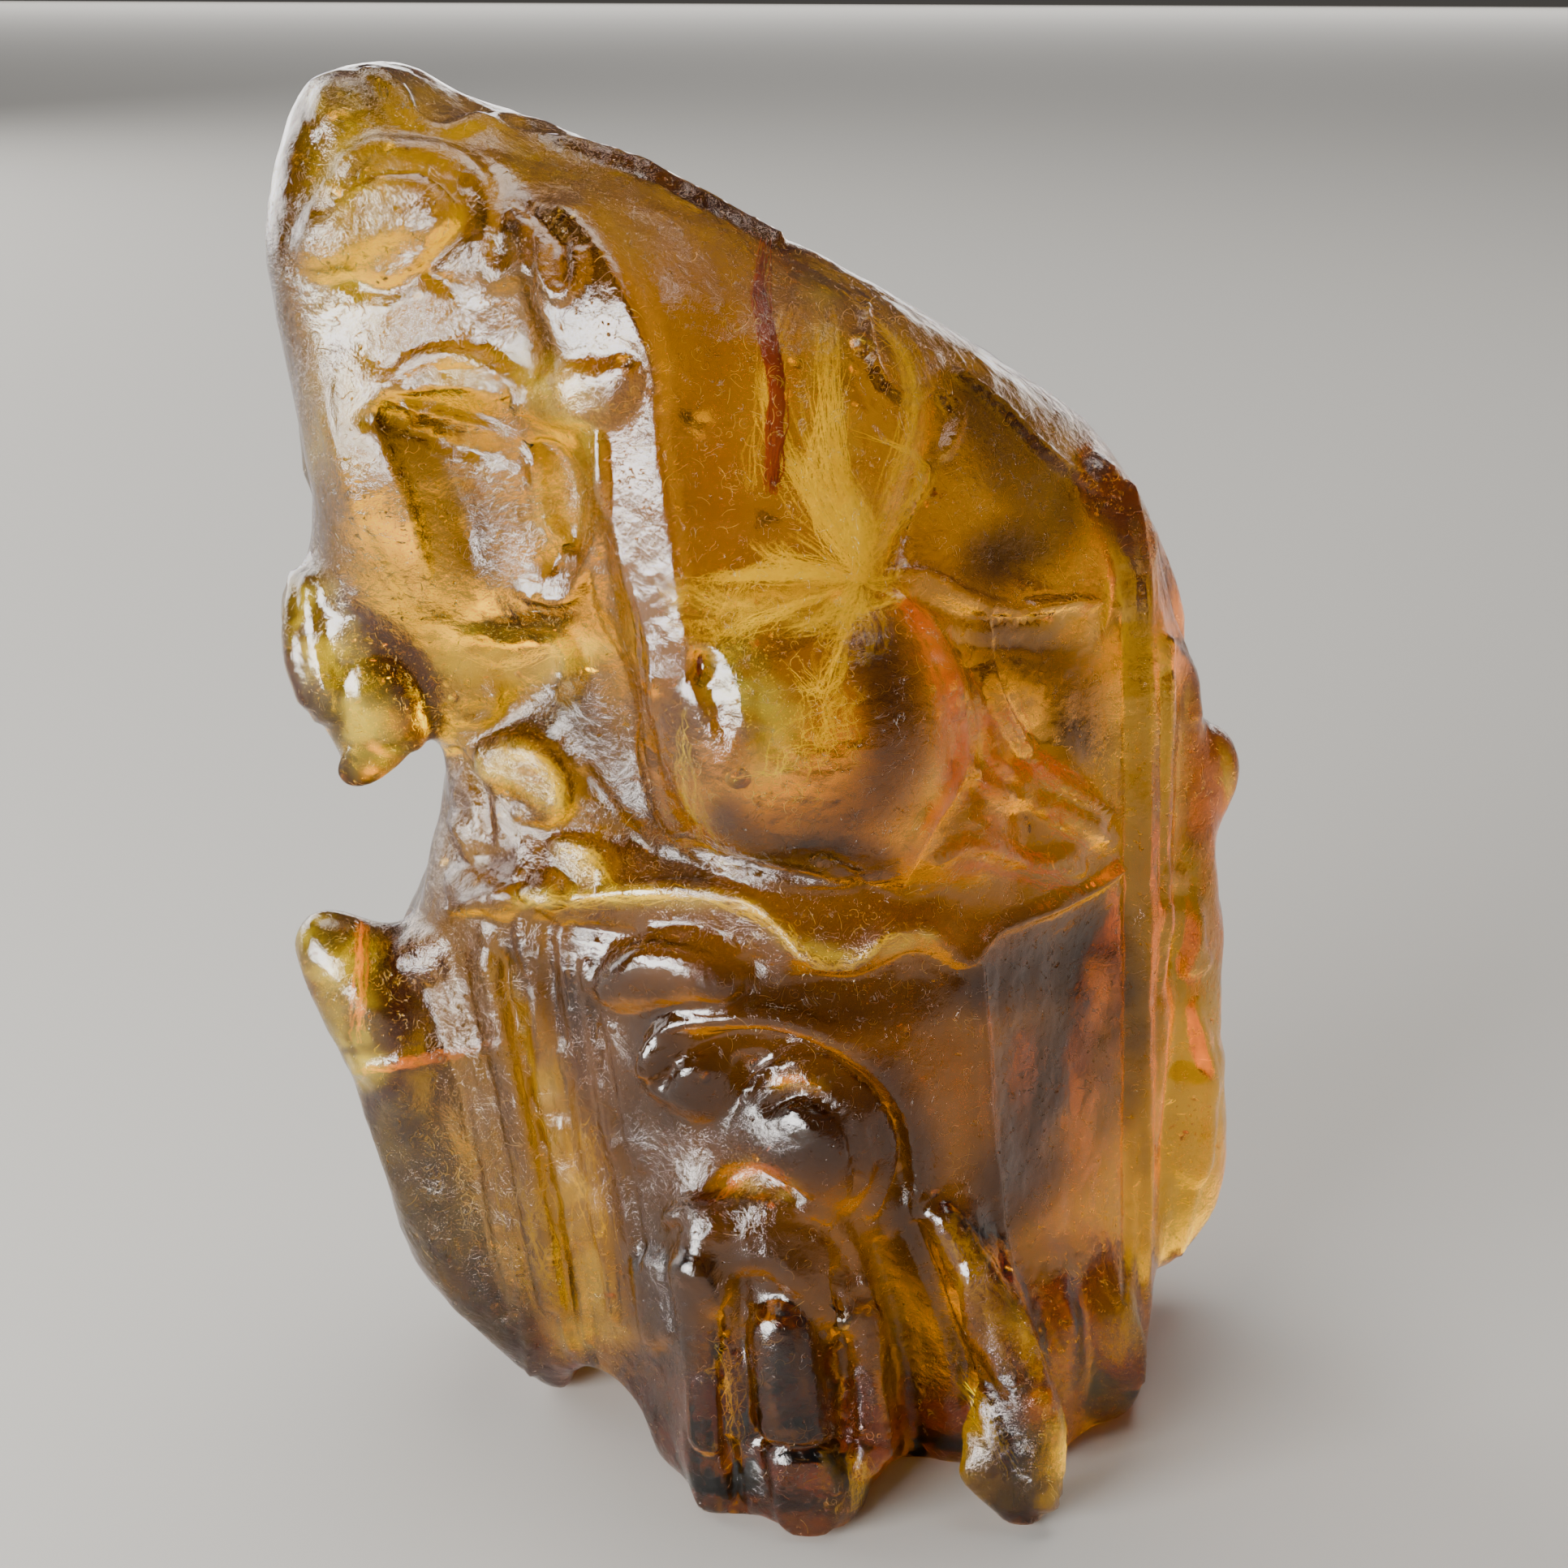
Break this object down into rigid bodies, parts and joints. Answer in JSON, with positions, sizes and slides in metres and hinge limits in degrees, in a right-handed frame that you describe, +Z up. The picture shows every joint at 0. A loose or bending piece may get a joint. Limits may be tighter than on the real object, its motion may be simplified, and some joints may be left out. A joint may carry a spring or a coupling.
{
  "type": "amber with insects",
  "caption": "Clear amber lump with a leaning top, hooked jaw, hanging belly, side horn and small feet, with tiny insects sealed inside.",
  "frame": {"origin": "middle of the lump's box on the surface it stands on", "axes": "+Z up, -Y towards the side the picture shows, +X to the right of that side"},
  "size_m": [0.0787, 0.0519, 0.1092],
  "materials": {
    "amber": "polished clear resin",
    "gnat": "dull shell with pale wings",
    "midge": "dull dark shell",
    "ant": "dull black shell"
  },
  "bodies": {
    "root": {"amber_lower": "amber", "amber_upper": "amber", "gnat": "gnat", "midge": "midge", "ant": "ant"}
  },
  "joints": []
}
